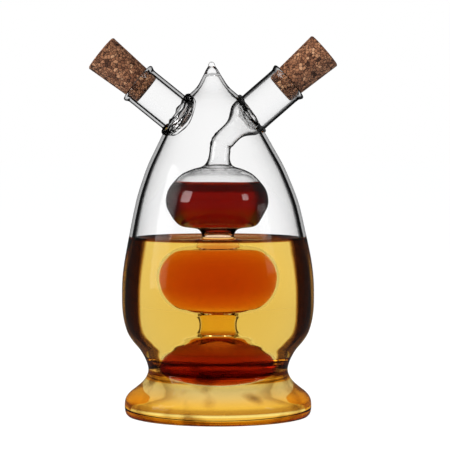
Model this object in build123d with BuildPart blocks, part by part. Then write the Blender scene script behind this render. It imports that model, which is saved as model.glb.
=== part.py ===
"""Oil and vinegar cruet, blown in clear glass: a jug for oil with a smaller vessel for vinegar hung inside it.

The jug is a tall rounded cone on a hollow flared foot, pulled off to a point between two slanted necks.
The vessel inside is three flattened bulbs in a stack. It opens through a bent riser into the right-hand neck.
A tapered cork closes each neck.

The origin is the centre of the face that the foot rests on. +Z is up, +X is the side of the vinegar neck,
and the front is -Y. Every length is in millimetres.
"""

import math
import os

from build123d import *

os.makedirs("parts", exist_ok=True)

# Jug and foot
FOOT_RADIUS = 40.2
FOOT_EDGE = 4.4
REST_RADIUS = FOOT_RADIUS - FOOT_EDGE
WAIST_RADIUS = 29.9
WAIST_Z = 19.8
BELLY_RADIUS = 41.3
BELLY_Z = 51.6
CROWN_Z = 140.2
TIP_Z = 152.2
TIP_X = -2.4
TIP_FLAT = 0.4
TIP_SOLID = 5.8
JUG_WALL = 1.6
BASE_WALL = 2.0

# Necks: the point where each axis meets the jug, and the slope of the axis above level
NECK_RADIUS = 8.5
NECK_WALL = 1.3
NECK_LENGTH = 18.7
RIM_ROLL = 0.75
OIL_ROOT = (-20.2, 131.6)
OIL_SLOPE = 39.0
VINEGAR_ROOT = (16.6, 131.6)
VINEGAR_SLOPE = 41.0
VINEGAR_NECK_DEPTH = 7.0
WELD_HEIGHT = 1.2
OIL_WELD_REACH = 3.0
VINEGAR_WELD_REACH = 1.8

# Vessel inside: the height of each bulb's widest ring and its radius there, how far the bulb reaches above and
# below that ring, and how square its shoulders are above and below: 2 is an ellipse, and more is fuller
# A bulb is flat over the last few degrees at each pole, where it was cracked off
VESSEL_WALL = 1.0
UPPER_BULB = (93.0, 22.0, 14.1, 12.1, 2.2, 3.4)
MIDDLE_BULB = (58.6, 18.5, 12.8, 13.4, 2.9, 2.9)
LOWER_BULB = (23.5, 18.4, 16.0, 16.7, 3.2, 2.2)
UPPER_STEM_RADIUS = 7.0
LOWER_STEM_RADIUS = 5.4
STEM_FLARE = 1.9
STEM_REACH = 1.3
RISER_RADIUS = 4.5
RISER_FLARE = 1.6
POLE = 2.0
FUNNEL_LENGTH = 5.5

# Corks
CORK_LENGTH = 25.4
CORK_GRIP = 5.4
CORK_OUTER_RADIUS = 8.45
CORK_CLEARANCE = 0.06
CORK_CHAMFER = 0.5

# Levels of the liquids
OIL_Z = 75.7
VINEGAR_Z = 100.2

# Heights at which the jug's wall changes from belly to shoulder and from shoulder to crown
SHOULDER_Z = 76.0
CROWN_FOOT_Z = 112.0

NECK_BORE = NECK_RADIUS - NECK_WALL
CORK_MOUTH_RADIUS = NECK_BORE - CORK_CLEARANCE
CORK_TAPER = (CORK_OUTER_RADIUS - CORK_MOUTH_RADIUS) / (CORK_LENGTH - CORK_GRIP)
CORK_INNER_RADIUS = CORK_MOUTH_RADIUS - CORK_TAPER * CORK_GRIP
ABOVE = 60.0


def shifted(curve, distance, count=15):
    """Points along a curve, each moved square to it; a positive distance is to the left of its run."""
    points = []
    for i in range(count):
        place, run = curve @ (i / (count - 1)), curve % (i / (count - 1))
        points.append((max(place.X - run.Y * distance, 0.0), place.Y + run.X * distance))
    return points


def turned(edges):
    """The solid that a closed half outline sweeps round the Z axis."""
    with BuildPart() as solid:
        with BuildSketch(Plane.XZ):
            with BuildLine():
                for edge in edges:
                    add(edge)
            make_face()
        revolve(axis=Axis.Z)
    return solid.part


def to_axis(first, last):
    """The three lines that close a half outline from its last point along the axis to its first."""
    return [Line(last, (0, last[1])), Line((0, last[1]), (0, first[1])), Line((0, first[1]), first)]


# Outline of the jug, from the waist up to the crown
jug_line = Spline(
    (WAIST_RADIUS, WAIST_Z),
    (WAIST_RADIUS + 3.4, 28.3),
    (38.6, 35.5),
    (BELLY_RADIUS, BELLY_Z),
    (39.0, 73.1),
    (34.5, 93.7),
    (28.2, 109.8),
    (21.6, 122.6),
    (17.8, 129.2),
    (13.2, 135.4),
    (7.4, 139.2),
    (0, CROWN_Z),
    tangents=((0, 1), (-1, 0)),
)
jug_solid = turned([jug_line, Line((0, CROWN_Z), (0, WAIST_Z)), Line((0, WAIST_Z), (WAIST_RADIUS, WAIST_Z))])

inside = shifted(jug_line, JUG_WALL)
inside[0] = (WAIST_RADIUS - JUG_WALL, WAIST_Z)
inside[-1] = (0, CROWN_Z - JUG_WALL)
cavity_line = Spline(*inside, tangents=((0, 1), (-1, 0)))
jug_cavity = turned([cavity_line, Line(inside[-1], (0, WAIST_Z)), Line((0, WAIST_Z), inside[0])])

weld_points = shifted(jug_line, -WELD_HEIGHT)
weld_points[0] = (WAIST_RADIUS + WELD_HEIGHT, WAIST_Z)
weld_points[-1] = (0, CROWN_Z + WELD_HEIGHT)
weld_line = Spline(*weld_points, tangents=((0, 1), (-1, 0)))
weld_skin = turned([weld_line, Line(weld_points[-1], (0, WAIST_Z)), Line((0, WAIST_Z), weld_points[0])])

# The pulled point of glass on the crown, and the hollow drawn up into it
tip_line = Spline(
    (11.0, CROWN_Z - 2.6), (7.0, CROWN_Z + 0.4), (4.9, 143.6), (2.8, 147.2), (1.3, TIP_Z - 1.2),
    (TIP_FLAT, TIP_Z), tangents=((-1, 0.5), (-1, 0.25)),
)
tip_solid = Pos(TIP_X, 0, 0) * turned([tip_line, *to_axis((11.0, CROWN_Z - 2.6), (TIP_FLAT, TIP_Z))])
hollow_line = Spline(
    (6.0, CROWN_Z - 3.0), (3.2, CROWN_Z + 1.2), (TIP_FLAT, TIP_Z - TIP_SOLID), tangents=((-1, 0.9), (-0.25, 1))
)
tip_hollow = Pos(TIP_X, 0, 0) * turned(
    [hollow_line, *to_axis((6.0, CROWN_Z - 3.0), (TIP_FLAT, TIP_Z - TIP_SOLID))]
)

# Outline of the foot, from the waist down to the face it rests on
foot_line = Spline(
    (WAIST_RADIUS, WAIST_Z), (31.2, 16.0), (36.6, 11.2), (FOOT_RADIUS, FOOT_EDGE),
    tangents=((0, -1), (0, -1)),
)
foot_edge = RadiusArc((FOOT_RADIUS, FOOT_EDGE), (REST_RADIUS, 0), FOOT_EDGE)
foot_solid = turned(
    [foot_line, foot_edge, Line((REST_RADIUS, 0), (0, 0)), Line((0, 0), (0, WAIST_Z)),
     Line((0, WAIST_Z), (WAIST_RADIUS, WAIST_Z))]
)
foot_inside = shifted(foot_line, -JUG_WALL, 9)
foot_inside[0] = (WAIST_RADIUS - JUG_WALL, WAIST_Z)
foot_cavity = turned(
    [Spline(*foot_inside, tangents=((0, -1), (0, -1))),
     RadiusArc(foot_inside[-1], (foot_inside[-1][0] - 2.4, BASE_WALL), 2.4),
     Line((foot_inside[-1][0] - 2.4, BASE_WALL), (0, BASE_WALL)), Line((0, BASE_WALL), (0, WAIST_Z)),
     Line((0, WAIST_Z), foot_inside[0])]
)


def neck_plane(root, slope, side):
    """The plane through a neck's root, square to its axis, with its normal pointing out of the mouth."""
    lean = math.radians(slope)
    return Plane(
        origin=(root[0], 0, root[1]), x_dir=(0, 1, 0), z_dir=(side * math.cos(lean), 0, math.sin(lean))
    )


def rod(plane, radius, start, end):
    """A plain round rod along the plane's normal."""
    with BuildPart() as solid:
        with BuildSketch(plane.offset(start)):
            Circle(radius)
        extrude(amount=end - start)
    return solid.part


def neck_solid(plane, depth):
    """A neck's outer form, straight but for the rim rolled back at its mouth."""
    with BuildPart() as solid:
        with BuildSketch(plane.offset(-depth)):
            Circle(NECK_RADIUS)
        extrude(amount=depth + NECK_LENGTH)
        with BuildSketch(plane.offset(NECK_LENGTH - 2 * RIM_ROLL)):
            Circle(NECK_RADIUS + RIM_ROLL)
        rim = extrude(amount=2 * RIM_ROLL)
        fillet(rim.edges().filter_by(GeomType.CIRCLE).sort_by(SortBy.RADIUS)[-2:], RIM_ROLL * 0.95)
    return solid.part


def cork_solid(plane):
    """A tapered cork: plane is the one through the root, so the cork sits at the far end of the neck."""
    with BuildPart() as solid:
        with BuildSketch(plane.offset(NECK_LENGTH - CORK_GRIP)):
            Circle(CORK_INNER_RADIUS)
        with BuildSketch(plane.offset(NECK_LENGTH - CORK_GRIP + CORK_LENGTH)):
            Circle(CORK_OUTER_RADIUS)
        loft()
        chamfer(solid.edges().filter_by(GeomType.CIRCLE), CORK_CHAMFER)
    return solid.part


oil_plane = neck_plane(OIL_ROOT, OIL_SLOPE, -1)
vinegar_plane = neck_plane(VINEGAR_ROOT, VINEGAR_SLOPE, 1)
oil_neck_form = neck_solid(oil_plane, 16)
vinegar_neck_form = neck_solid(vinegar_plane, VINEGAR_NECK_DEPTH)


def bulb(form, grow=0.0):
    """A flattened bulb as a solid of revolution; grow moves its surface in or out."""
    widest, radius, up, down, square_up, square_down = form
    points = []
    for i in range(-12, 13):
        angle = math.radians((90 - POLE) * i / 12)
        half, square = (up, square_up) if i > 0 else (down, square_down)
        across = math.cos(angle) / (radius + grow)
        along = abs(math.sin(angle)) / (half + grow)
        reach = (across**square + along**square) ** (-1 / square)
        points.append((reach * math.cos(angle), widest + reach * math.sin(angle)))
    side = Spline(*points, tangents=((1, 0), (-1, 0)))
    return turned([side, *to_axis(points[0], points[-1])])


def stem(above, below, radius, grow=0.0):
    """A waisted stem that flares into the bulb above and the bulb below."""
    top, bottom = above[0] - above[3] + STEM_REACH, below[0] + below[2] - STEM_REACH
    flare = radius + STEM_FLARE
    line = Spline(
        (flare + grow, top), (radius + grow, (top + bottom) / 2), (flare + grow, bottom),
        tangents=((-0.75, -1), (0.75, -1)),
    )
    return turned([line, *to_axis((flare + grow, top), (flare + grow, bottom))])


bulbs = (UPPER_BULB, MIDDLE_BULB, LOWER_BULB)
bulb_forms = [bulb(b) for b in bulbs]
bulb_rooms = [bulb(b, -VESSEL_WALL) for b in bulbs]
stem_forms = [stem(UPPER_BULB, MIDDLE_BULB, UPPER_STEM_RADIUS), stem(MIDDLE_BULB, LOWER_BULB, LOWER_STEM_RADIUS)]
stem_rooms = [
    stem(UPPER_BULB, MIDDLE_BULB, UPPER_STEM_RADIUS, -VESSEL_WALL),
    stem(MIDDLE_BULB, LOWER_BULB, LOWER_STEM_RADIUS, -VESSEL_WALL),
]


def riser_form(grow=0.0):
    """The riser in two straight tubes that meet in a mitre: up the axis from the bulb, then along the neck's.

    The first flares where it stands on the bulb, and the second opens like a funnel to fill the neck.
    """
    radius, foot_z = RISER_RADIUS + grow, UPPER_BULB[0] + UPPER_BULB[2] - 2.6
    slope = math.radians(VINEGAR_SLOPE)
    run = VINEGAR_ROOT[0] / math.cos(slope)
    corner = (0, 0, VINEGAR_ROOT[1] - run * math.sin(slope))
    mitre = Plane(origin=corner, x_dir=(0, 1, 0), z_dir=(math.cos(slope), 0, math.sin(slope) + 1))
    flared = radius + RISER_FLARE + 1.2
    flare = Spline((flared, foot_z), (radius, foot_z + 6.0), tangents=((-0.9, 0.5), (0, 1)))
    foot_flare = turned([flare, *to_axis((flared, foot_z), (radius, foot_z + 6.0))])
    upright = rod(Plane.XY, radius, foot_z + 6.0, corner[2] + 8).split(mitre, keep=Keep.BOTTOM) + foot_flare
    arm = rod(vinegar_plane, radius, -run - 8, -VINEGAR_NECK_DEPTH - FUNNEL_LENGTH).split(mitre, keep=Keep.TOP)
    with BuildPart() as funnel:
        with BuildSketch(vinegar_plane.offset(-VINEGAR_NECK_DEPTH - FUNNEL_LENGTH)):
            Circle(radius)
        with BuildSketch(vinegar_plane.offset(-VINEGAR_NECK_DEPTH)):
            Circle(NECK_RADIUS + grow * NECK_WALL / VESSEL_WALL)
        loft()
    return upright, arm + funnel.part


riser_outer, arm_outer = riser_form()
riser_inner, arm_inner = riser_form(-VESSEL_WALL)

# The jug, open at the waist, with a hole for each neck and the pulled point on its crown
# Its wall is in three rings that stand on one another: belly, shoulder and crown
jug = (
    jug_solid + tip_solid - jug_cavity - tip_hollow
    - rod(oil_plane, NECK_RADIUS, -16, 8) - rod(vinegar_plane, NECK_RADIUS, -VINEGAR_NECK_DEPTH, 8)
)
belly_zone = Pos(0, 0, SHOULDER_Z / 2) * Box(120, 120, SHOULDER_Z)
shoulder_zone = Pos(0, 0, (SHOULDER_Z + CROWN_FOOT_Z) / 2) * Box(120, 120, CROWN_FOOT_Z - SHOULDER_Z)
belly = jug & belly_zone
shoulder = jug & shoulder_zone
crown = jug - belly_zone - shoulder_zone
foot = foot_solid - foot_cavity

oil_neck = oil_neck_form - rod(oil_plane, NECK_BORE, -ABOVE, ABOVE) - jug_cavity - tip_hollow
vinegar_neck = vinegar_neck_form - rod(vinegar_plane, NECK_BORE, -ABOVE, ABOVE)

jug_whole = jug_solid + tip_solid
oil_weld = (
    (weld_skin & rod(oil_plane, NECK_RADIUS + OIL_WELD_REACH, -10, 10)) - jug_whole - oil_neck_form
)
vinegar_weld = (
    (weld_skin & rod(vinegar_plane, NECK_RADIUS + VINEGAR_WELD_REACH, -10, 10)) - jug_whole
    - vinegar_neck_form - oil_weld
)

# The vessel inside: each stem passes through a bulb's wall and ends flush with the inside of the bulb
upper_bulb = bulb_forms[0] - bulb_rooms[0] - stem_forms[0] - riser_outer
middle_bulb = bulb_forms[1] - bulb_rooms[1] - stem_forms[0] - stem_forms[1]
lower_bulb = bulb_forms[2] - bulb_rooms[2] - stem_forms[1]
upper_stem = stem_forms[0] - stem_rooms[0] - bulb_rooms[0] - bulb_rooms[1]
lower_stem = stem_forms[1] - stem_rooms[1] - bulb_rooms[1] - bulb_rooms[2]
vinegar_riser = riser_outer - riser_inner - bulb_rooms[0]
riser_arm = arm_outer - arm_inner

# The liquids fill what is below their levels
below_oil = Pos(0, 0, OIL_Z / 2) * Box(120, 120, OIL_Z)
oil = ((jug_cavity + foot_cavity) & below_oil) - stem_forms[0] - stem_forms[1]
for form in bulb_forms:
    oil = oil - form
below_vinegar = Pos(0, 0, VINEGAR_Z / 2) * Box(120, 120, VINEGAR_Z)
vinegar = bulb_rooms[0] + stem_rooms[0] + bulb_rooms[1] + stem_rooms[1] + bulb_rooms[2]
vinegar = vinegar & below_vinegar

oil_cork = cork_solid(oil_plane)
vinegar_cork = cork_solid(vinegar_plane)

pieces = {
    "outer_body": belly,
    "outer_shoulder": shoulder,
    "outer_crown": crown,
    "foot": foot,
    "oil_neck": oil_neck,
    "oil_neck_weld": oil_weld,
    "vinegar_neck": vinegar_neck,
    "vinegar_neck_weld": vinegar_weld,
    "vinegar_riser": vinegar_riser,
    "riser_arm": riser_arm,
    "upper_bulb": upper_bulb,
    "upper_stem": upper_stem,
    "middle_bulb": middle_bulb,
    "lower_stem": lower_stem,
    "lower_bulb": lower_bulb,
    "oil": oil,
    "vinegar": vinegar,
    "oil_cork": oil_cork,
    "vinegar_cork": vinegar_cork,
}
for name, piece in pieces.items():
    solids = piece.solids()
    print(f"{name}: {len(solids)} solid(s), {piece.volume:.1f} mm3, {'valid' if piece.is_valid else 'INVALID'}")
    if len(solids) == 1:
        piece = Part(solids[0].wrapped)
    piece.label = name
    export_step(piece, f"parts/{name}.step")
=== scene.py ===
"""An oil and vinegar cruet in blown glass: a jug of oil with a smaller vessel of vinegar hung inside it.

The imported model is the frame. Each section below makes one part of the cruet, in the order it is put together.
Everything is in metres, with the foot's resting face at the origin, +Z up and the front towards -Y.
"""

import bisect
import math

import bpy
from mathutils import Matrix, Vector


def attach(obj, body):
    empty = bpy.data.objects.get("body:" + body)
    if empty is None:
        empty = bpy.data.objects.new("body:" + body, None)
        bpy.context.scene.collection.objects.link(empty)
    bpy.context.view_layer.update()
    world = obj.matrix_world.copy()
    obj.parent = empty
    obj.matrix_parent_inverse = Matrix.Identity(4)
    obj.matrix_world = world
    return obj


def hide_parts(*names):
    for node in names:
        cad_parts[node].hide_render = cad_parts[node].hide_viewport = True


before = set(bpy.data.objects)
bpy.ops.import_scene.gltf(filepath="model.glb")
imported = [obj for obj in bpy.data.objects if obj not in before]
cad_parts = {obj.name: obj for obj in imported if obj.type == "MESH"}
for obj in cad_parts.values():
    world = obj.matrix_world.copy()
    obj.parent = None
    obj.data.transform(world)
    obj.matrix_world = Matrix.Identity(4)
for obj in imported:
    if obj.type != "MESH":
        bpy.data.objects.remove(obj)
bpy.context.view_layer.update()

# The photographer's table: a long lens a little above the crown, a white sweep that lights the glass from behind,
# a dark room in front, and a tall panel on each side that shows only as a highlight.
scene = bpy.context.scene
scene.view_settings.view_transform = "Standard"
scene.cycles.max_bounces = 48
scene.cycles.transmission_bounces = 44
scene.cycles.glossy_bounces = 16
scene.cycles.transparent_max_bounces = 48

AIM = Vector((0.0030, 0, 0.0821))
LENS_DISTANCE = 0.90
LENS_HEIGHT = 0.1148
SEEN_WIDTH = 0.1935
# how bright the room is in the glass: mirrored once, seen from within the jug's wall, and seen from deep in the oil
ROOM_DARK = 0.05
WALL_GLOW = 0.55
DEEP_GLOW = 0.85
# how brightly the table is lit from below, and how much of its paint takes the shadow
TABLE_GLOW = 1.08
PAINT_SHARE = 0.15

bpy.ops.object.camera_add(location=(AIM.x, -LENS_DISTANCE, LENS_HEIGHT))
camera = bpy.context.object
camera.name = "long_lens"
camera.data.sensor_width = 36.0
camera.data.lens = 36.0 * math.hypot(LENS_DISTANCE, LENS_HEIGHT - AIM.z) / SEEN_WIDTH
camera.data.clip_start = 0.05
camera.data.clip_end = 20.0
camera.rotation_euler = (AIM - camera.location).to_track_quat("-Z", "Y").to_euler()
scene.camera = camera


def softbox(name, place, aim, size, power):
    bpy.ops.object.light_add(type="AREA", location=place)
    lamp = bpy.context.object
    lamp.name = name
    lamp.data.shape = "RECTANGLE"
    lamp.data.size, lamp.data.size_y = size
    lamp.data.energy = power
    lamp.rotation_euler = (Vector(aim) - lamp.location).to_track_quat("-Z", "Y").to_euler()
    return lamp


for name, place, size, power in (
    ("light_left", (-0.75, -0.45, 0.55), (0.45, 0.45), 11.0),
    ("light_front", (0.35, -1.2, 0.9), (0.7, 0.5), 11.0),
):
    lamp = softbox(name, place, (0, 0, 0.09), size, power)
    lamp.visible_glossy = lamp.visible_transmission = False


def node(tree, kind, **values):
    made = tree.nodes.new(kind)
    for key, value in values.items():
        setattr(made, key, value)
    return made


def ramp(tree, source, stops):
    made = tree.nodes.new("ShaderNodeValToRGB")
    elements = made.color_ramp.elements
    while len(elements) > 1:
        elements.remove(elements[-1])
    elements[0].position, elements[0].color = stops[0][0], (*stops[0][1], 1)
    for place, colour in stops[1:]:
        elements.new(place).color = (*colour, 1)
    tree.links.new(source, made.inputs["Fac"])
    return made.outputs["Color"]


def counted(tree, first, operation, second):
    """One step of arithmetic on two values, either of which may be a number."""
    made = node(tree, "ShaderNodeMath", operation=operation)
    for socket, value in zip(made.inputs, (first, second)):
        if isinstance(value, (int, float)):
            socket.default_value = value
        else:
            tree.links.new(value, socket)
    return made.outputs[0]


def seen_level(tree):
    """Whether a ray sees the room or only carries light, and how bright the room is for it.

    The lit sweep is what shows through the glass. The dark room in front of it is what the glass mirrors, but
    for what goes round inside the jug's wall or deep in the oil, which comes from the sweep again.
    """
    path = node(tree, "ShaderNodeLightPath")
    bounced = counted(tree, path.outputs["Is Glossy Ray"], "MAXIMUM", path.outputs["Is Transmission Ray"])
    seen = counted(tree, path.outputs["Is Camera Ray"], "MAXIMUM", bounced)
    mirrored = counted(tree, path.outputs["Glossy Depth"], "GREATER_THAN", 0.5)
    in_wall = counted(tree, path.outputs["Transmission Depth"], "COMPARE", 2.0)
    deep = counted(tree, path.outputs["Transmission Depth"], "GREATER_THAN", 4.5)
    lift = counted(
        tree, counted(tree, in_wall, "MULTIPLY", WALL_GLOW - ROOM_DARK), "ADD",
        counted(tree, deep, "MULTIPLY", DEEP_GLOW - ROOM_DARK),
    )
    drop = counted(tree, lift, "ADD", ROOM_DARK - 1.0)
    return seen, counted(tree, counted(tree, drop, "MULTIPLY", mirrored), "ADD", 1.0)


# the two tall boxes that the glass mirrors
for name, place, size, bright in (
    ("panel_left", (-0.75, -0.20, 0.32), (0.36, 0.56), 5.0), ("panel_right", (0.78, -0.33, 0.32), (0.22, 0.28), 5.0)
):
    bpy.ops.mesh.primitive_plane_add(size=1.0, location=place)
    panel = bpy.context.object
    panel.name = name
    panel.scale = (*size, 1)
    panel.rotation_euler = (Vector((0, 0, 0.09)) - panel.location).to_track_quat("Z", "Y").to_euler()
    cloth = bpy.data.materials.new(name)
    cloth.use_nodes = True
    tree = cloth.node_tree
    glow, clear = node(tree, "ShaderNodeEmission"), node(tree, "ShaderNodeBsdfTransparent")
    glow.inputs["Strength"].default_value = bright
    path = node(tree, "ShaderNodeLightPath")
    mirrored = counted(tree, path.outputs["Glossy Depth"], "GREATER_THAN", 0.5)
    mixed = node(tree, "ShaderNodeMixShader")
    tree.links.new(mirrored, mixed.inputs[0])
    tree.links.new(clear.outputs[0], mixed.inputs[1])
    tree.links.new(glow.outputs[0], mixed.inputs[2])
    tree.links.new(mixed.outputs[0], tree.nodes["Material Output"].inputs["Surface"])
    panel.data.materials.append(cloth)

air = bpy.data.worlds.new("studio_air")
scene.world = air
air.use_nodes = True
tree = air.node_tree
light = tree.nodes["Background"]
light.inputs["Color"].default_value = (0.92, 0.95, 1.0, 1)
light.inputs["Strength"].default_value = 0.62
seen, level = seen_level(tree)
studio = node(tree, "ShaderNodeBackground")
studio.inputs["Color"].default_value = (1, 1, 1, 1)
tree.links.new(level, studio.inputs["Strength"])
whole = node(tree, "ShaderNodeMixShader")
tree.links.new(seen, whole.inputs[0])
tree.links.new(light.outputs[0], whole.inputs[1])
tree.links.new(studio.outputs[0], whole.inputs[2])
tree.links.new(whole.outputs[0], tree.nodes["World Output"].inputs["Surface"])

bpy.ops.mesh.primitive_plane_add(size=30.0, location=(0, 0, 0))
table = bpy.context.object
table.name = "white_table"
table_paint = bpy.data.materials.new("white_sweep")
table_paint.use_nodes = True
tree = table_paint.node_tree
paint = tree.nodes["Principled BSDF"]
paint.inputs["Base Color"].default_value = (0.93, 0.93, 0.93, 1)
paint.inputs["Roughness"].default_value = 0.6
paint.inputs["Specular IOR Level"].default_value = 0.0
glow = node(tree, "ShaderNodeEmission")
glow.inputs["Color"].default_value = (1, 1, 1, 1)
seen, level = seen_level(tree)
tree.links.new(counted(tree, level, "MULTIPLY", TABLE_GLOW), glow.inputs["Strength"])
# the share of what is seen of the table that is its paint, where it takes the cruet's shadow
painted = counted(tree, level, "MULTIPLY", PAINT_SHARE)
mixed = node(tree, "ShaderNodeMixShader")
tree.links.new(counted(tree, seen, "MULTIPLY", counted(tree, 1.0, "SUBTRACT", painted)), mixed.inputs[0])
tree.links.new(paint.outputs[0], mixed.inputs[1])
tree.links.new(glow.outputs[0], mixed.inputs[2])
tree.links.new(mixed.outputs[0], tree.nodes["Material Output"].inputs["Surface"])
table.data.materials.append(table_paint)

# The jug: soft glass blown and drawn into a tall cone on a hollow foot, with its crown pulled off to a point.
# The oil's neck is melted on at the left. The vinegar's neck passes through a hole at the right, sealed round.
JUG_WALL = 0.0013
TIP_SOLID_Z = 0.1464
BASE_WALL = 0.0020
NECK_RADIUS = 0.0085
NECK_BORE = 0.0072
# where the crown's and the tip's painted dark edge lines begin
CROWN_FROM, TIP_FROM = 0.1330, 0.1408
NECK_LENGTH = 0.0187
OIL_ROOT, OIL_SLOPE = Vector((-0.0202, 0, 0.1316)), math.radians(39.0)
VINEGAR_ROOT, VINEGAR_SLOPE = Vector((0.0166, 0, 0.1316)), math.radians(41.0)

# radius and height, from the face it rests on up to the tip
jug_stations = [
    (0.0372, 0.0), (0.0388, 0.0003), (0.0396, 0.0011), (0.0401, 0.0028), (0.0402, 0.0046), (0.0398, 0.0075),
    (0.0382, 0.0098),
    (0.0352, 0.0122), (0.0325, 0.0146), (0.0308, 0.0170), (0.0300, 0.0198), (0.0307, 0.0232), (0.0333, 0.0283),
    (0.0365, 0.0322), (0.0388, 0.0358), (0.0403, 0.0405), (0.0411, 0.0456), (0.0413, 0.0516), (0.0411, 0.0590),
    (0.0403, 0.0660), (0.0390, 0.0731), (0.0375, 0.0803), (0.0361, 0.0870), (0.0344, 0.0937), (0.0320, 0.1006),
    (0.0290, 0.1080), (0.0257, 0.1144), (0.0217, 0.1220), (0.0178, 0.1292), (0.0148, 0.1335), (0.0118, 0.1369),
    (0.0094, 0.1390), (0.0076, 0.1406), (0.0062, 0.1423), (0.0050, 0.1443), (0.0038, 0.1464), (0.0027, 0.1485),
    (0.00145, 0.1505), (0.0013, 0.1512), (0.0010, 0.1518), (0.0004, 0.1521),
]


def smooth_line(stations, step):
    """Points about a step apart on the smooth curve through the stations."""
    ends = [
        tuple(2 * a - b for a, b in zip(stations[0], stations[1])),
        tuple(2 * a - b for a, b in zip(stations[-1], stations[-2])),
    ]
    line = [ends[0], *stations, ends[1]]
    made = []
    for a, b, c, d in zip(line, line[1:], line[2:], line[3:]):
        knots = [0.0]
        for p, q in ((a, b), (b, c), (c, d)):
            knots.append(knots[-1] + max(math.dist(p, q), 1e-6) ** 0.5)
        pieces = max(1, round(math.dist(b, c) / step))
        for i in range(pieces):
            t = knots[1] + (knots[2] - knots[1]) * i / pieces

            def blend(p, q, low, high):
                return tuple(u + (v - u) * (t - low) / (high - low) for u, v in zip(p, q))

            ab, bc, cd = blend(a, b, *knots[0:2]), blend(b, c, *knots[1:3]), blend(c, d, *knots[2:4])
            abc, bcd = blend(ab, bc, knots[0], knots[2]), blend(bc, cd, knots[1], knots[3])
            made.append(blend(abc, bcd, knots[1], knots[2]))
    return [*made, stations[-1]]


def inset(line, depth):
    """The line moved in from the outside by a depth, towards the axis."""
    moved = []
    for before, (radius, height), after in zip([line[0], *line], line, [*line[1:], line[-1]]):
        run = Vector((after[0] - before[0], after[1] - before[1])).normalized()
        place = (max(radius - run.y * depth, 0.0004), height + run.x * depth)
        if not moved or (place[0] - moved[-1][0]) * run.x + (place[1] - moved[-1][1]) * run.y > 0.0001:
            moved.append(place)
    return moved


def ringed(line, height):
    """The line with a point of its own at a height."""
    made = []
    for low, high in zip(line, line[1:]):
        made.append(low)
        if (low[1] - height) * (high[1] - height) < 0:
            t = (height - low[1]) / (high[1] - low[1])
            made.append((low[0] + (high[0] - low[0]) * t, height))
    return [*made, line[-1]]


def radius_at(line, height):
    """The radius of an upright line at a height."""
    i = min(max(bisect.bisect_left(line, height, key=lambda point: point[1]), 1), len(line) - 1)
    (low_radius, low), (high_radius, high) = line[i - 1], line[i]
    return low_radius + (high_radius - low_radius) * (height - low) / (high - low)


def select_only(piece):
    bpy.ops.object.select_all(action="DESELECT")
    piece.select_set(True)
    bpy.context.view_layer.objects.active = piece


def blown(name, line, material, around=128):
    """A closed form spun round the Z axis from its outline of radii and heights."""
    bpy.ops.object.select_all(action="DESELECT")
    bpy.ops.mesh.primitive_plane_add(size=0.001, location=(0, 0, 0))
    piece = bpy.context.object
    piece.name = name
    bpy.ops.object.mode_set(mode="EDIT")
    bpy.ops.mesh.select_all(action="SELECT")
    bpy.ops.mesh.merge(type="CENTER")
    radius, height = line[0]
    bpy.ops.transform.translate(value=(radius, 0, height))
    for wide, high in line[1:]:
        bpy.ops.mesh.extrude_region_move(TRANSFORM_OT_translate={"value": (wide - radius, 0, high - height)})
        radius, height = wide, high
    bpy.ops.mesh.select_all(action="SELECT")
    bpy.ops.mesh.spin(steps=around, angle=math.tau, center=(0, 0, 0), axis=(0, 0, 1))
    bpy.ops.mesh.select_all(action="SELECT")
    bpy.ops.mesh.remove_doubles(threshold=0.000002)
    bpy.ops.mesh.fill_holes(sides=0)
    bpy.ops.mesh.select_all(action="SELECT")
    bpy.ops.mesh.normals_make_consistent(inside=False)
    bpy.ops.object.mode_set(mode="OBJECT")
    piece.data.materials.append(material)
    return piece


def apply_modifier(piece, kind, **values):
    select_only(piece)
    bpy.ops.object.modifier_add(type=kind)
    modifier = piece.modifiers[-1]
    for key, value in values.items():
        setattr(modifier, key, value)
    bpy.ops.object.modifier_apply(modifier=modifier.name)


def combined(piece, other, operation):
    """One closed form made from two; the other is used up."""
    apply_modifier(
        piece, "BOOLEAN", operation=operation, object=other, solver="MANIFOLD", material_mode="TRANSFER"
    )
    bpy.data.objects.remove(other, do_unlink=True)


def lean(height):
    """How far the hand-drawn crown leans to the left at a height."""
    stops = [(0.070, 0.0), (0.090, -0.0003), (0.107, -0.0010), (0.125, -0.0018), (0.140, -0.0021), (0.152, -0.0028)]
    if height <= stops[0][0]:
        return 0.0
    for (low, a), (high, b) in zip(stops, stops[1:]):
        if height <= high:
            t = (height - low) / (high - low)
            return a + (b - a) * t
    return stops[-1][1]


def leaned(piece):
    for vertex in piece.data.vertices:
        vertex.co.x += lean(vertex.co.z)


def neck_frame(root, slope, side):
    """Along the neck, across it in the front plane, and towards the back."""
    along = Vector((side * math.cos(slope), 0, math.sin(slope)))
    across = Vector((-side * math.sin(slope), 0, math.cos(slope)))
    return Matrix(
        ((across.x, 0, along.x, root.x), (0, 1, 0, 0), (across.z, 0, along.z, root.z), (0, 0, 0, 1))
    )


def edge_darkened(tree, stops):
    """The colour of clear glass by how squarely it is seen: painted shade that darkens it towards its edges."""
    facing = node(tree, "ShaderNodeLayerWeight")
    facing.inputs["Blend"].default_value = 0.5
    return ramp(tree, facing.outputs["Facing"], stops)


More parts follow.
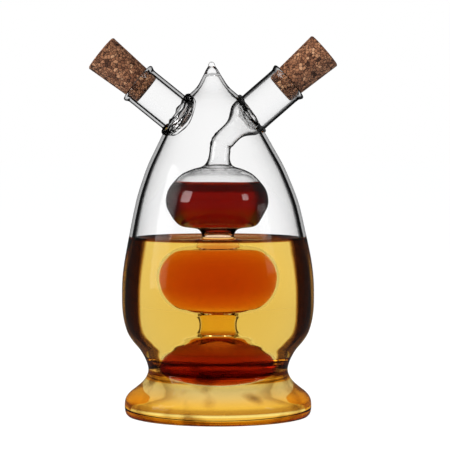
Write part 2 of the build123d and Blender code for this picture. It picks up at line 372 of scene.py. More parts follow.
def lined(material, outside, inside=((0.0, 0.0), (1.0, 0.0))):
    """Gives a clear material painted shade as dark edge lines, where it would carry the sight past the lit sweep to
    the dark room.

    Each line is how dark it is by how far the glass has turned away, met from the outside or from within.
    """
    tree = material.node_tree
    facing = node(tree, "ShaderNodeLayerWeight")
    facing.inputs["Blend"].default_value = 0.5
    face = node(tree, "ShaderNodeNewGeometry")
    mixed = node(tree, "ShaderNodeMix", data_type="RGBA")
    tree.links.new(face.outputs["Backfacing"], mixed.inputs["Factor"])
    for socket, stops in (("A", outside), ("B", inside)):
        shades = ramp(tree, facing.outputs["Facing"], [(place, (k, k, k)) for place, k in stops])
        tree.links.new(shades, mixed.inputs[socket])
    black = node(tree, "ShaderNodeBsdfTransparent")
    black.inputs["Color"].default_value = (0, 0, 0, 1)
    drawn = node(tree, "ShaderNodeMixShader")
    lamp_mix = tree.nodes["Material Output"].inputs["Surface"].links[0].from_node
    tree.links.new(mixed.outputs["Result"], drawn.inputs[0])
    tree.links.new(lamp_mix.inputs[1].links[0].from_socket, drawn.inputs[1])
    tree.links.new(black.outputs[0], drawn.inputs[2])
    tree.links.new(drawn.outputs[0], lamp_mix.inputs[1])
    return material


def place_on_piece(tree):
    """The X, Y and Z of the spot that is shaded."""
    place, split = node(tree, "ShaderNodeTexCoord"), node(tree, "ShaderNodeSeparateXYZ")
    tree.links.new(place.outputs["Object"], split.inputs[0])
    return split.outputs


def out_from_axis(tree, spot):
    """The level direction from the upright axis out to a spot."""
    level, unit = node(tree, "ShaderNodeCombineXYZ"), node(tree, "ShaderNodeVectorMath", operation="NORMALIZE")
    for axis in ("X", "Y"):
        tree.links.new(spot[axis], level.inputs[axis])
    tree.links.new(level.outputs[0], unit.inputs[0])
    return unit.outputs[0]


def turned_aside(tree):
    """How far an upright round wall has turned away to the side where it is seen, however it slopes."""
    facing = node(tree, "ShaderNodeLayerWeight")
    facing.inputs["Blend"].default_value = 0.5
    tree.links.new(out_from_axis(tree, place_on_piece(tree)), facing.inputs["Normal"])
    return facing.outputs["Facing"]


def lamp_light_passes(tree, shader, tint):
    """Lets lamplight through to what stands behind the glass, tinted by it."""
    path = node(tree, "ShaderNodeLightPath")
    clear = node(tree, "ShaderNodeBsdfTransparent")
    clear.inputs["Color"].default_value = (*tint, 1)
    mixed = node(tree, "ShaderNodeMixShader")
    tree.links.new(path.outputs["Is Shadow Ray"], mixed.inputs[0])
    tree.links.new(shader.outputs[0], mixed.inputs[1])
    tree.links.new(clear.outputs[0], mixed.inputs[2])
    tree.links.new(mixed.outputs[0], tree.nodes["Material Output"].inputs["Surface"])


def clear_material(name, ior, sheen, edge, tint=(0.93, 0.95, 0.95)):
    """Something clear: how it bends light, how much it mirrors when seen squarely, and its colour by the angle, which
    carries its painted shade.
    """
    made = bpy.data.materials.new(name)
    made.use_nodes = True
    tree = made.node_tree
    shader = tree.nodes["Principled BSDF"]
    shader.inputs["Transmission Weight"].default_value = 1.0
    shader.inputs["Roughness"].default_value = 0.0
    shader.inputs["IOR"].default_value = ior
    shader.inputs["Specular Tint"].default_value = (sheen, sheen, sheen, 1)
    tree.links.new(edge_darkened(tree, edge), shader.inputs["Base Color"])
    lamp_light_passes(tree, shader, tint)
    return made


# clear glass, with faint painted shade towards its edges
CLEAR = [(0.0, (0.97, 0.97, 0.97)), (1.0, (0.94, 0.94, 0.94))]
outer_glass = clear_material("jug_glass_outside", 1.47, 0.08, CLEAR)
# painted shade: the jug's inside and the oil neck's bore darken towards their edges and get dark edge lines
INNER_WALL = [
    (0.0, (0.99, 0.99, 0.99)), (0.30, (0.96, 0.96, 0.96)), (0.60, (0.72, 0.72, 0.72)), (0.68, (0.50, 0.50, 0.50)),
    (1.0, (0.45, 0.45, 0.45)),
]
inner_glass = lined(
    clear_material("jug_glass_inside", 1.47, 0.08, INNER_WALL), [(0.0, 0.0), (0.66, 0.0), (0.76, 1.0), (1.0, 1.0)],
    [(0.0, 0.0), (0.232, 0.0), (0.250, 1.0), (0.2668, 1.0), (0.2690, 0.0), (1.0, 0.0)],
)
bore_glass = lined(
    clear_material("neck_glass_inside", 1.47, 0.08, INNER_WALL), [(0.0, 0.0), (0.50, 0.0), (0.66, 1.0), (1.0, 1.0)],
    [(0.0, 0.0), (0.195, 0.0), (0.225, 1.0), (0.2668, 1.0), (0.2690, 0.0), (1.0, 0.0)],
)
# painted shade: dark edge lines on the oil's neck and the tip, the crown and the melted seals
neck_glass = lined(
    clear_material("neck_glass_outside", 1.47, 0.5, CLEAR), [(0.0, 0.0), (0.58, 0.0), (0.72, 0.95), (1.0, 1.0)],
)
crown_glass = lined(
    clear_material("crown_glass_outside", 1.47, 0.3, CLEAR), [(0.0, 0.0), (0.70, 0.0), (0.86, 0.95), (1.0, 1.0)],
)
seal_glass = lined(
    clear_material("melted_seal_glass", 1.47, 0.8, CLEAR), [(0.0, 0.0), (0.24, 0.0), (0.40, 0.95), (1.0, 1.0)],
    [(0.0, 0.0), (0.16, 0.0), (0.22, 0.9), (0.44, 0.9), (0.64, 0.2), (1.0, 0.0)],
)
# glass wetted by a liquid hardly shows: light passes from one to the other without bending
wet_glass = clear_material("wet_glass", 1.0, 0.0, [(0.0, (1, 1, 1)), (1.0, (1, 1, 1))])
# painted shade: the vessel's outside in air darkens towards its edges and gets dark edge lines
vessel_outer_glass = lined(
    clear_material("vessel_glass_outside", 1.47, 1.0, [(0.0, (0.98, 0.98, 0.98)), (1.0, (0.90, 0.90, 0.90))]),
    [(0.0, 0.0), (0.70, 0.0), (0.84, 0.95), (1.0, 1.0)],
)
riser_glass = lined(
    clear_material("riser_glass_outside", 1.47, 1.0, [(0.0, (0.98, 0.98, 0.98)), (1.0, (0.90, 0.90, 0.90))]),
    [(0.0, 0.0), (0.38, 0.0), (0.54, 0.97), (1.0, 1.0)],
)
# painted shade: the glass round the top bulb's vinegar goes near black where its side turns away
vessel_full_glass = clear_material(
    "vessel_glass_round_vinegar", 1.47, 1.0,
    [(0.0, (0.97, 0.97, 0.97)), (0.22, (0.95, 0.95, 0.95)), (0.28, (0.70, 0.66, 0.66)), (0.36, (0.06, 0.04, 0.04)),
     (0.50, (0.015, 0.01, 0.01)), (1.0, (0.01, 0.005, 0.005))],
)
tree = vessel_full_glass.node_tree
shade = tree.nodes["Principled BSDF"].inputs["Base Color"].links[0].from_node
tree.links.new(turned_aside(tree), shade.inputs["Fac"])
# the stem in the oil is given painted shade: a dark line down each side
vessel_stem_glass = clear_material(
    "vessel_stem_in_oil", 1.0, 0.0,
    [(0.0, (1, 1, 1)), (0.10, (1, 1, 1)), (0.60, (0.90, 0.80, 0.60)), (0.68, (0.10, 0.06, 0.02)),
     (1.0, (0.05, 0.03, 0.01))],
)
# painted shade: the vessel's inside above the vinegar turns black towards its edges
vessel_inner_glass = clear_material(
    "vessel_glass_inside", 1.47, 0.08,
    [(0.0, (0.99, 0.99, 0.99)), (0.60, (0.90, 0.90, 0.90)), (0.82, (0.0, 0.0, 0.0)), (1.0, (0.0, 0.0, 0.0))],
)

OIL_FRAME = neck_frame(OIL_ROOT, OIL_SLOPE, -1)
VINEGAR_FRAME = neck_frame(VINEGAR_ROOT, VINEGAR_SLOPE, 1)
# the level of the oil, and how high it climbs the glass
OIL_Z = 0.0757
OIL_WETS = OIL_Z + 0.0013
jug_line = smooth_line(jug_stations, 0.0009)
cavity_line = [
    (0.0350, BASE_WALL),
    *[(r, h) for r, h in inset(jug_line, JUG_WALL) if BASE_WALL + 0.0008 < h < TIP_SOLID_Z and r > 0.0008],
    (0.0004, TIP_SOLID_Z + 0.0004),
]
cavity_line = ringed(cavity_line, OIL_WETS)

jug = blown("jug_glass", jug_line, outer_glass)
leaned(jug)

neck_rings = smooth_line(
    [(0.0086, -0.0140), (NECK_RADIUS, -0.0060), (NECK_RADIUS, 0.0), (NECK_RADIUS, 0.0090), (NECK_RADIUS, 0.0150),
     (0.0086, 0.0164), (0.0091, 0.0173), (0.00935, 0.0180), (0.0091, 0.0186), (0.0086, 0.0189), (0.0080, 0.0190)],
    0.0006,
)
neck = blown("oil_neck_outside", neck_rings, neck_glass)
neck.data.transform(OIL_FRAME)
combined(jug, neck, "UNION")


def seal_foot(place, radius, turn):
    """How far along a neck the jug's outside lies, at a distance and an angle from the neck's axis."""
    low, high = -0.014, 0.016
    for _ in range(16):
        along = (low + high) / 2
        point = place @ Vector((radius * math.cos(turn), radius * math.sin(turn), along))
        out = math.hypot(point.x - lean(point.z), point.y) - radius_at(jug_line, point.z)
        low, high = (low, along) if out > 0 else (along, high)
    return along


PLAIN_RING = 0.02


def seal_fold(place, spread, thick, phase):
    """One fold of melted glass round a neck's root: a thin ring of glass laid where the neck leaves the jug."""
    bpy.ops.object.select_all(action="DESELECT")
    bpy.ops.mesh.primitive_torus_add(
        major_radius=PLAIN_RING, minor_radius=thick, major_segments=96, minor_segments=10
    )
    fold = bpy.context.object
    fold.data.materials.append(seal_glass)
    feet = {}
    for vertex in fold.data.vertices:
        x, y, out = vertex.co
        turn = math.atan2(y, x)
        waver = 0.00030 * math.sin(5 * turn + phase) + 0.00018 * math.sin(11 * turn - 2 * phase)
        radius = NECK_RADIUS + 0.0002 + spread * abs(math.sin(turn)) ** 1.4 + waver
        key = round(turn, 3)
        if key not in feet:
            feet[key] = seal_foot(place, radius, turn)
        swell = 1 + 0.35 * math.sin(4 * turn + 3 * phase) + 0.15 * math.sin(13 * turn + phase)
        swell *= 0.55 + 0.50 * abs(math.sin(turn))
        wide = radius + (math.hypot(x, y) - PLAIN_RING) * swell
        vertex.co = place @ Vector((wide * math.cos(turn), wide * math.sin(turn), feet[key] + out * swell))
    return fold


# each fold: how far it spreads to the front and back, how thick it is, and where its waver starts
for place, folds in (
    (OIL_FRAME, ((0.0002, 0.00130, 0.0), (0.0018, 0.00105, 1.1), (0.0034, 0.00115, 2.3), (0.0050, 0.00100, 3.0),
                 (0.0064, 0.00105, 4.4))),
    (VINEGAR_FRAME, ((0.0001, 0.00115, 0.6), (0.0014, 0.00095, 1.9), (0.0028, 0.00100, 3.4))),
):
    for spread, thick, phase in folds:
        combined(jug, seal_fold(place, spread, thick, phase), "UNION")

cavity = blown("jug_inside", cavity_line, inner_glass)
leaned(cavity)
bore = blown(
    "oil_neck_inside",
    smooth_line([(NECK_BORE, -0.0110), (NECK_BORE, 0.0), (NECK_BORE, 0.0150), (NECK_BORE, 0.0176), (0.0074, 0.0184),
                 (0.0079, 0.0192), (0.0083, 0.0220)], 0.0006), bore_glass,
)
bore.data.transform(OIL_FRAME)
combined(cavity, bore, "UNION")
combined(jug, cavity, "DIFFERENCE")
wet = len(jug.data.materials)
jug.data.materials.append(wet_glass)
for face in jug.data.polygons:
    if jug.data.materials[face.material_index] == inner_glass and face.center.z < OIL_WETS:
        face.material_index = wet
hole = blown("vinegar_neck_hole", [(0.00845, -0.0070), (0.00845, 0.0100)], inner_glass)
hole.data.transform(VINEGAR_FRAME)
combined(jug, hole, "DIFFERENCE")
tip = len(jug.data.materials)
crown = tip + 1
jug.data.materials.append(neck_glass)
jug.data.materials.append(crown_glass)
for face in jug.data.polygons:
    if jug.data.materials[face.material_index] == outer_glass:
        if face.center.z > CROWN_FROM:
            face.material_index = tip if face.center.z > TIP_FROM else crown
        elif face.center.z < 0.0001:
            face.material_index = wet
select_only(jug)
bpy.ops.object.shade_smooth_by_angle(angle=math.radians(32))
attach(jug, "vessel")
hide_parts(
    "outer_body", "outer_shoulder", "outer_crown", "foot", "oil_neck", "oil_neck_weld", "vinegar_neck_weld"
)

# The vinegar's vessel: one thin tube blown out into three bulbs, bent over at the top and opened like a funnel
# into the right-hand neck. It hangs from the seal round that neck and touches the jug nowhere else.
VESSEL_WALL = 0.0010
LOWER_STEM_Z = (0.0403, 0.0448)
TOP_BULB_FROM, RISER_FROM = 0.0806, 0.1074
VINEGAR_Z = 0.1002
# radius and height of its outside, from the bottom of the lowest bulb up to the bend
vessel_stations = [
    (0.0004, 0.0069), (0.0050, 0.0075), (0.0097, 0.0093), (0.0146, 0.0125), (0.0168, 0.0152), (0.0179, 0.0187),
    (0.0184, 0.0228), (0.0181, 0.0271), (0.0175, 0.0305), (0.0168, 0.0335), (0.0159, 0.0362), (0.0146, 0.0380),
    (0.0125, 0.0390), (0.0100, 0.0394), (0.0074, 0.0396), (0.0062, 0.0401), (0.0056, 0.0411), (0.0054, 0.0424),
    (0.0056, 0.0437), (0.0062, 0.0447), (0.0074, 0.0452), (0.0100, 0.0457), (0.0118, 0.0463), (0.0134, 0.0471),
    (0.0150, 0.0486), (0.0164, 0.0507), (0.0175, 0.0531), (0.0182, 0.0557), (0.0185, 0.0586), (0.0181, 0.0618),
    (0.0169, 0.0650), (0.0154, 0.0673), (0.0134, 0.0695), (0.0118, 0.0704), (0.0100, 0.0709), (0.0082, 0.0712),
    (0.0069, 0.0718), (0.0063, 0.0729), (0.0063, 0.0742), (0.0065, 0.0757), (0.0068, 0.0772), (0.0073, 0.0788),
    (0.0083, 0.0800), (0.0100, 0.0806), (0.0130, 0.0810), (0.0156, 0.0815), (0.0172, 0.0825), (0.0186, 0.0842),
    (0.0204, 0.0872), (0.0217, 0.0899), (0.02205, 0.0928), (0.0211, 0.0970), (0.0189, 0.1002), (0.0153, 0.1038),
    (0.0125, 0.1053), (0.0099, 0.1063), (0.0074, 0.1070), (0.0060, 0.1078), (0.0051, 0.1092), (0.0046, 0.1110),
    (0.0045, 0.1134),
]
BEND_RADIUS = 0.0050
BEND_TURN = math.radians(90) - VINEGAR_SLOPE
CORNER_Z = VINEGAR_ROOT.z - VINEGAR_ROOT.x * math.tan(VINEGAR_SLOPE)
BEND_START = CORNER_Z - BEND_RADIUS * math.tan(BEND_TURN / 2)
BEND_END = BEND_START + BEND_RADIUS * BEND_TURN
ROOT_AT = BEND_END + VINEGAR_ROOT.x / math.cos(VINEGAR_SLOPE) - BEND_RADIUS * math.tan(BEND_TURN / 2)
# the riser's arm, the funnel, the neck and its rolled rim, and back down inside: distance along and radius
arm = [
    (BEND_START, 0.0045), (BEND_END, 0.0046), (ROOT_AT - 0.0140, 0.0046), (ROOT_AT - 0.0118, 0.0052),
    (ROOT_AT - 0.0095, 0.0066), (ROOT_AT - 0.0075, 0.0080), (ROOT_AT - 0.0055, 0.0085), (ROOT_AT, 0.0085),
    (ROOT_AT + 0.0090, 0.0085), (ROOT_AT + 0.0150, 0.0085), (ROOT_AT + 0.0164, 0.0086),
    (ROOT_AT + 0.0173, 0.0091), (ROOT_AT + 0.0180, 0.00935), (ROOT_AT + 0.0186, 0.0091),
    (ROOT_AT + 0.0189, 0.0085), (ROOT_AT + 0.0190, 0.0079), (ROOT_AT + 0.0186, 0.0075), (ROOT_AT + 0.0178, 0.0072),
    (ROOT_AT + 0.0150, 0.0072), (ROOT_AT, 0.0072), (ROOT_AT - 0.0055, 0.0072), (ROOT_AT - 0.0078, 0.0066),
    (ROOT_AT - 0.0098, 0.0052), (ROOT_AT - 0.0120, 0.0040), (ROOT_AT - 0.0140, 0.0036), (BEND_END, 0.0036),
    (BEND_START, 0.0035),
]
vessel_outside = smooth_line([*vessel_stations, (0.0045, BEND_START)], 0.0006)
vessel_inside = inset(vessel_outside, VESSEL_WALL)
vessel_line = [
    *vessel_outside[:-1], *smooth_line([(r, h) for h, r in arm], 0.0006), *reversed(vessel_inside[:-1])
]


def sway(along):
    """How far the vessel stands off the jug's axis: its top bulb to the left, its riser leaning to the right."""
    stops = [
        (0.0815, 0.0), (0.0850, -0.0004), (0.1040, -0.0004), (BEND_START, 0.0010), (BEND_END, 0.0011),
        (ROOT_AT - 0.0100, 0.0),
    ]
    for (low, a), (high, b) in zip(stops, stops[1:]):
        if low < along <= high:
            return a + (b - a) * (along - low) / (high - low)
    return 0.0


def bent_onto_neck(piece):
    """Carries what stands above the bend round it and along the neck's axis, with a few folds at the kink."""
    centre = Vector((BEND_RADIUS, 0, BEND_START))
    for vertex in piece.data.vertices:
        x, y, along = vertex.co
        near = math.exp(-(((along - (BEND_START + BEND_END) / 2) / 0.0028) ** 2))
        fold = 1 + 0.06 * near * math.sin((along - BEND_START) * 2600 + 1.5 * math.atan2(y, x))
        x, y = x * fold, y * fold
        shift = sway(along)
        if along <= BEND_START:
            vertex.co = (x + shift, y, along)
            continue
        turn = min((along - BEND_START) / BEND_RADIUS, BEND_TURN)
        past = along - BEND_START - turn * BEND_RADIUS
        outward = Vector((-math.cos(turn), 0, math.sin(turn)))
        onward = Vector((math.sin(turn), 0, math.cos(turn)))
        vertex.co = centre + outward * (BEND_RADIUS - x) + Vector((shift, y, 0)) + onward * past


vessel = blown("vinegar_vessel_glass", vessel_line, vessel_outer_glass, around=112)
for glass in (vessel_inner_glass, wet_glass, vessel_full_glass, vessel_stem_glass, riser_glass):
    vessel.data.materials.append(glass)
OUTER, INNER, WET, FULL, STEM, RISER = range(6)
for face in vessel.data.polygons:
    inside = face.normal.x * face.center.x + face.normal.y * face.center.y < 0
    height = face.center.z
    if height < (VINEGAR_Z if inside else OIL_Z):
        face.material_index = STEM if not inside and LOWER_STEM_Z[0] < height < LOWER_STEM_Z[1] else WET
    elif inside:
        face.material_index = INNER
    elif TOP_BULB_FROM < height < VINEGAR_Z:
        face.material_index = FULL
    else:
        face.material_index = RISER if height < TOP_BULB_FROM or height > RISER_FROM else OUTER
bent_onto_neck(vessel)
select_only(vessel)
bpy.ops.object.shade_smooth()
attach(vessel, "vessel")
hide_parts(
    "vinegar_neck", "riser_arm", "vinegar_riser", "upper_bulb", "upper_stem", "middle_bulb", "lower_stem",
    "lower_bulb",
)

# The oil: it fills the foot and the jug up to its level, all round the lower bulbs.
# Its skin lies just inside the glass, so that light passes from one to the other as it really does.
SOAK = 0.00015
# all of its skin farther out than this lies against the jug
AGAINST_JUG = 0.0255

oil_side = [(r + SOAK, h) for r, h in cavity_line if h < OIL_WETS + 0.00001]
oil_side[0] = (oil_side[0][0], BASE_WALL - SOAK)
edge = oil_side[-1][0]
oil_inner = [(r, h) for r, h in inset(vessel_outside, SOAK) if h < OIL_Z - 0.0010]
oil_line = [
    (0.0020, BASE_WALL - SOAK), (0.0120, BASE_WALL - SOAK), (0.0250, BASE_WALL - SOAK), *oil_side,
    *smooth_line(
        [(edge - 0.0003, OIL_WETS - 0.00002), (edge - 0.0006, OIL_Z + 0.0007), (edge - 0.0011, OIL_Z + 0.0003),
         (edge - 0.0019, OIL_Z + 0.0001), (edge - 0.0032, OIL_Z)], 0.0003,
    ),
    (0.0250, OIL_Z), (0.0150, OIL_Z),
    *smooth_line(
        [(0.0110, OIL_Z), (0.0096, OIL_Z + 0.0001), (0.0084, OIL_Z + 0.0003), (0.0075, OIL_Z + 0.0007),
         (0.0070, OIL_Z + 0.0013), (0.0065, OIL_Z + 0.0004)], 0.0005,
    ),
    *reversed(oil_inner),
]


def bends_by_face(material, side, top, level):
    """How a liquid bends light: by one amount where it wets glass, and by another at its open top."""
    tree = material.node_tree
    face, turned = node(tree, "ShaderNodeNewGeometry"), node(tree, "ShaderNodeSeparateXYZ")
    tree.links.new(face.outputs["True Normal"], turned.inputs[0])
    upward = counted(tree, turned.outputs["Z"], "ABSOLUTE", 0.0)
    high = counted(tree, place_on_piece(tree)["Z"], "GREATER_THAN", level)
    open_top = counted(tree, counted(tree, upward, "GREATER_THAN", 0.55), "MULTIPLY", high)
    bend = counted(tree, counted(tree, open_top, "MULTIPLY", top - side), "ADD", side)
    tree.links.new(bend, tree.nodes["Principled BSDF"].inputs["IOR"])


def soaking(material, per_metre):
    """Gives a clear material depth: the light that each metre of it takes away, by colour."""
    tree = material.node_tree
    depth = node(tree, "ShaderNodeVolumeAbsorption")
    density = max(per_metre) * 1.02
    depth.inputs["Color"].default_value = (*[1 - k / density for k in per_metre], 1)
    depth.inputs["Density"].default_value = density
    tree.links.new(depth.outputs[0], tree.nodes["Material Output"].inputs["Volume"])


def blended(tree, factor, first, second, kind="MIX"):
    """Two colours mixed, or one tinted by the other."""
    mixed = node(tree, "ShaderNodeMix", data_type="RGBA", blend_type=kind)
    for socket, value in (("Factor", factor), ("A", first), ("B", second)):
        if isinstance(value, (int, float)):
            mixed.inputs[socket].default_value = value
        else:
            tree.links.new(value, mixed.inputs[socket])
    return mixed.outputs["Result"]


def share_between(tree, value, low, high):
    """How far a value has come from a low one to a high one, from 0 to 1."""
    share = counted(tree, counted(tree, value, "SUBTRACT", low), "DIVIDE", high - low)
    return counted(tree, counted(tree, share, "MAXIMUM", 0.0), "MINIMUM", 1.0)


# painted shade: where the curved side turns away, the oil's colour is darkened to stand for the dark room that its
# bending shows past the lit sweep
OIL_SIDE_DARK = [
    (0.0, (1, 1, 1)), (0.174, (0.98, 0.97, 0.95)), (0.182, (0.45, 0.24, 0.08)), (0.190, (0.040, 0.009, 0.002)),
    (0.262, (0.010, 0.002, 0.0005)), (0.275, (0.5, 0.33, 0.12)), (0.40, (0.75, 0.55, 0.25)),
    (1.0, (0.75, 0.55, 0.25)),
]
# painted shade on the foot too, darker where its wall turns away, broken into streaks that stand for the waves in the
# glass
FOOT_SIDE = [
    (0.0, (1, 1, 1)), (0.10, (1, 0.96, 0.9)), (0.15, (0.85, 0.74, 0.55)), (0.185, (0.55, 0.40, 0.24)),
    (0.210, (0.40, 0.26, 0.12)), (0.228, (0.90, 0.72, 0.45)), (0.27, (1, 0.85, 0.6)), (1.0, (1, 0.85, 0.6)),
]
FOOT_STREAKS = [(0.34, (0.22, 0.13, 0.08)), (0.43, (0.72, 0.62, 0.52)), (0.50, (1, 1, 1)), (1.0, (1, 1, 1))]
# its colours by height in millimetres, the oil's amber with painted light and shade: the base's edge, a painted
# bright line over it, a painted brown shadow, the slope, and painted light and dark lines round the waist
FOOT_TOP = 30.0
FOOT_RISE = [
    (1.0, (0.75, 0.34, 0.02)), (3.6, (0.75, 0.34, 0.02)), (4.0, (1, 0.85, 0.25)), (4.4, (1, 0.85, 0.25)),
    (4.9, (0.26, 0.08, 0.003)), (6.4, (0.34, 0.12, 0.005)), (7.4, (0.75, 0.34, 0.015)), (9.0, (0.72, 0.34, 0.03)),
    (11.0, (0.58, 0.36, 0.09)), (14.0, (0.42, 0.36, 0.20)), (16.2, (0.55, 0.48, 0.30)), (17.0, (0.30, 0.18, 0.07)),
    (18.0, (1, 0.90, 0.60)), (19.4, (0.45, 0.28, 0.12)), (20.6, (1, 0.85, 0.6)), (21.8, (0.40, 0.24, 0.10)),
    (23.2, (1, 0.9, 0.7)), (24.4, (0.45, 0.28, 0.14)), (25.5, (1, 1, 1)),
]
# the oil climbs the glass at its level, and that rim of it is given painted shade
OIL_RIM = [(0.0, (1, 1, 1)), (0.30, (1, 1, 1)), (0.42, (0.30, 0.10, 0.03)), (1.0, (0.20, 0.06, 0.02))]
amber_oil = clear_material("amber_oil", 1.47, 0.0, OIL_SIDE_DARK, (0.93, 0.72, 0.35))
tree = amber_oil.node_tree
banded = tree.nodes["Principled BSDF"].inputs["Base Color"].links[0].from_socket
spot, side = place_on_piece(tree), turned_aside(tree)
tree.links.new(side, banded.node.inputs["Fac"])
squares = [counted(tree, spot[axis], "MULTIPLY", spot[axis]) for axis in ("X", "Y")]
outside = counted(tree, counted(tree, squares[0], "ADD", squares[1]), "GREATER_THAN", AGAINST_JUG ** 2)

# painted shade in long streaks round the foot, standing for the waves in the glass
turned, streak_place = node(tree, "ShaderNodeSeparateXYZ"), node(tree, "ShaderNodeCombineXYZ")
tree.links.new(out_from_axis(tree, spot), turned.inputs[0])
for axis, value in zip("XYZ", (turned.outputs["X"], turned.outputs["Y"], counted(tree, spot["Z"], "MULTIPLY", 45.0))):
    tree.links.new(value, streak_place.inputs[axis])
shade_streaks = node(tree, "ShaderNodeTexNoise")
shade_streaks.inputs["Scale"].default_value = 2.6
shade_streaks.inputs["Detail"].default_value = 1.5
tree.links.new(streak_place.outputs[0], shade_streaks.inputs["Vector"])
streaked = blended(
    tree, 1.0, ramp(tree, side, FOOT_SIDE), ramp(tree, shade_streaks.outputs["Fac"], FOOT_STREAKS), "MULTIPLY"
)
risen = ramp(
    tree, counted(tree, spot["Z"], "MULTIPLY", 1000.0 / FOOT_TOP),
    [(height / FOOT_TOP, colour) for height, colour in FOOT_RISE],
)
foot_shade = blended(tree, 1.0, streaked, risen, "MULTIPLY")
belly_shade = blended(tree, share_between(tree, spot["Z"], 0.0235, 0.0265), foot_shade, banded)
rim = ramp(tree, share_between(tree, spot["Z"], 0.0750, 0.0772), OIL_RIM)
white = ramp(tree, side, [(0.0, (1, 1, 1))])
skin = blended(tree, outside, white, blended(tree, 1.0, belly_shade, rim, "MULTIPLY"))
tree.links.new(skin, tree.nodes["Principled BSDF"].inputs["Base Color"])
soaking(amber_oil, (3.0, 8.7, 32.0))
bends_by_face(amber_oil, 1.0, 1.47, OIL_Z - 0.0015)
oil = blown("oil_fill", oil_line, amber_oil)
select_only(oil)
bpy.ops.object.shade_smooth_by_angle(angle=math.radians(40))
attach(oil, "vessel")
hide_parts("oil")

# The vinegar: dark red, filling the vessel inside from the lowest bulb to the upper part of the top one.
VINEGAR_SKIN = 0.0004

vinegar_side = [(r, h) for r, h in inset(vessel_outside, VINEGAR_SKIN) if h < VINEGAR_Z - 0.0004]
vinegar_line = [
    *vinegar_side, (0.0180, VINEGAR_Z + 0.0003), (0.0172, VINEGAR_Z), (0.0120, VINEGAR_Z),
    (0.0050, VINEGAR_Z), (0.0010, VINEGAR_Z),
]
# its red with painted light and shade, by height: dark in the top and the lowest bulb, orange in the middle one, near
# clear in the stems, with painted dark bands, a painted dark line under its level and a paler top
TALLEST_VINEGAR = 0.11
VINEGAR_COLOUR_AND_SHADE = [
    (0.003, (0.70, 0.18, 0.03)), (0.0138, (0.65, 0.16, 0.03)), (0.0160, (0.45, 0.08, 0.01)),
    (0.0178, (0.10, 0.003, 0.001)), (0.0198, (0.10, 0.003, 0.001)), (0.0214, (0.32, 0.020, 0.005)),
    (0.033, (0.36, 0.05, 0.010)), (0.0372, (0.18, 0.03, 0.010)), (0.0398, (0.36, 0.09, 0.02)),
    (0.0410, (0.95, 0.76, 0.16)), (0.0446, (0.95, 0.76, 0.16)), (0.0465, (0.78, 0.34, 0.03)),
    (0.054, (0.62, 0.17, 0.014)), (0.064, (0.66, 0.20, 0.014)), (0.0700, (0.78, 0.32, 0.03)),
    (0.0722, (1.0, 1.0, 0.95)), (0.0785, (1.0, 1.0, 0.95)), (0.0800, (0.90, 0.45, 0.20)),
    (0.0815, (0.60, 0.18, 0.05)), (0.0830, (0.10, 0.002, 0.001)), (0.0860, (0.16, 0.004, 0.001)),
    (0.0900, (0.26, 0.008, 0.002)),
    (0.0958, (0.26, 0.010, 0.003)), (0.0968, (0.04, 0.002, 0.001)), (0.0992, (0.012, 0.001, 0.001)),
    (0.0996, (0.05, 0.02, 0.02)), (0.0999, (0.5, 0.40, 0.39)), (0.101, (0.5, 0.40, 0.39)),
]
dark_vinegar = clear_material("dark_vinegar", 0.97, 0.0, CLEAR, (0.6, 0.1, 0.03))
tree = dark_vinegar.node_tree
height = counted(tree, place_on_piece(tree)["Z"], "DIVIDE", TALLEST_VINEGAR)
tree.links.new(
    ramp(tree, height, [(z / TALLEST_VINEGAR, colour) for z, colour in VINEGAR_COLOUR_AND_SHADE]),
    tree.nodes["Principled BSDF"].inputs["Base Color"],
)
soaking(dark_vinegar, (8.0, 34.0, 60.0))
bends_by_face(dark_vinegar, 0.955, 1.34, VINEGAR_Z - 0.0006)
vinegar = blown("vinegar_fill", vinegar_line, dark_vinegar, around=112)
select_only(vinegar)
bpy.ops.object.shade_smooth_by_angle(angle=math.radians(40))
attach(vinegar, "vessel")
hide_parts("vinegar")

# The corks: granules of bark pressed and glued into a tapered plug, one pushed a little way into each neck.
CORK_LENGTH = 0.0254
CORK_GRIP = 0.0054
GRAIN_SCALE = 760.0
CORK_INNER, CORK_OUTER = 0.0068, 0.00845


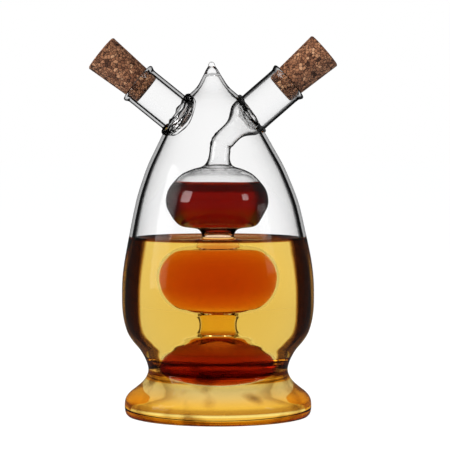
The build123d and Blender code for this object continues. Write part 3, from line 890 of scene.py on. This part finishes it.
def cork_body(name, place, material):
    rings = [(CORK_INNER - 0.0005, 0.0), (CORK_INNER, 0.0005)]
    for i in range(1, 24):
        t = i / 24
        rings.append((CORK_INNER + (CORK_OUTER - CORK_INNER) * t, CORK_LENGTH * t))
    rings += [(CORK_OUTER, CORK_LENGTH - 0.0005), (CORK_OUTER - 0.0005, CORK_LENGTH)]
    piece = blown(name, rings, material, around=96)
    piece.data.transform(place @ Matrix.Translation((0, 0, NECK_LENGTH - CORK_GRIP)))
    select_only(piece)
    bpy.ops.object.shade_smooth_by_angle(angle=math.radians(40))
    return piece


def cork_material():
    made = bpy.data.materials.new("pressed_cork")
    made.use_nodes = True
    tree = made.node_tree
    shader = tree.nodes["Principled BSDF"]
    place = node(tree, "ShaderNodeTexCoord")
    cells = node(tree, "ShaderNodeTexVoronoi", feature="F1")
    cells.inputs["Scale"].default_value = GRAIN_SCALE
    tree.links.new(place.outputs["Object"], cells.inputs["Vector"])
    borders = node(tree, "ShaderNodeTexVoronoi", feature="DISTANCE_TO_EDGE")
    borders.inputs["Scale"].default_value = GRAIN_SCALE
    tree.links.new(place.outputs["Object"], borders.inputs["Vector"])
    pick = node(tree, "ShaderNodeSeparateXYZ")
    tree.links.new(cells.outputs["Color"], pick.inputs[0])
    grain = ramp(tree, pick.outputs["X"], [(0.0, (0.040, 0.013, 0.005)), (0.20, (0.115, 0.042, 0.018)),
                                           (0.60, (0.190, 0.078, 0.035)), (0.92, (0.255, 0.115, 0.055)),
                                           (1.0, (0.36, 0.19, 0.10))])
    gaps = ramp(tree, borders.outputs["Distance"], [(0.0, (0.05, 0.04, 0.04)), (0.13, (1, 1, 1))])
    tree.links.new(blended(tree, 1.0, grain, gaps, "MULTIPLY"), shader.inputs["Base Color"])
    shader.inputs["Roughness"].default_value = 0.85
    bump = node(tree, "ShaderNodeBump")
    bump.inputs["Distance"].default_value = 0.0004
    bump.inputs["Strength"].default_value = 0.8
    tree.links.new(borders.outputs["Distance"], bump.inputs["Height"])
    tree.links.new(bump.outputs["Normal"], shader.inputs["Normal"])
    return made


pressed_cork = cork_material()
for side, place, body in (
    ("oil_cork", OIL_FRAME, "oil_stopper"), ("vinegar_cork", VINEGAR_FRAME, "vinegar_stopper")
):
    cork = cork_body(f"{side}_plug", place, pressed_cork)
    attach(cork, body)
    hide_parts(side)
